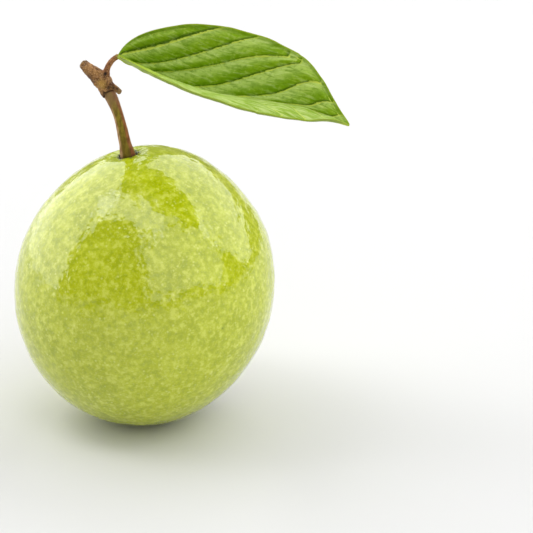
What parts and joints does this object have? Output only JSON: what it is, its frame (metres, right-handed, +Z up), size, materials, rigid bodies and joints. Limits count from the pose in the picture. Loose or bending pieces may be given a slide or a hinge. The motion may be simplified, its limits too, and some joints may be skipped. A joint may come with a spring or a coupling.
{
  "type": "guava",
  "caption": "Whole pale green guava with a slender curved stalk, a stub of brown twig and one broad quilted leaf, resting on the skin beside its calyx.",
  "frame": {"origin": "centre of the small flat spot under the fruit that it rests on, on the ground plane", "axes": "+Z up, leaf reaching toward +X and a little toward -Y, the picture taken from -Y"},
  "size_m": [0.1134, 0.0896, 0.1432],
  "materials": {
    "skin": "waxy yellow-green fruit skin",
    "calyx": "dull fleshy green",
    "dry_flower": "dry, rough brown",
    "stalk": "dull olive and tan",
    "bark": "rough brown bark",
    "leaf": "satin green leaf"
  },
  "bodies": {
    "root": {"fruit": "skin", "calyx": "calyx", "floral_disc": "dry_flower", "fruit_stalk": "stalk", "twig": "bark", "leaf": "leaf"}
  },
  "joints": []
}
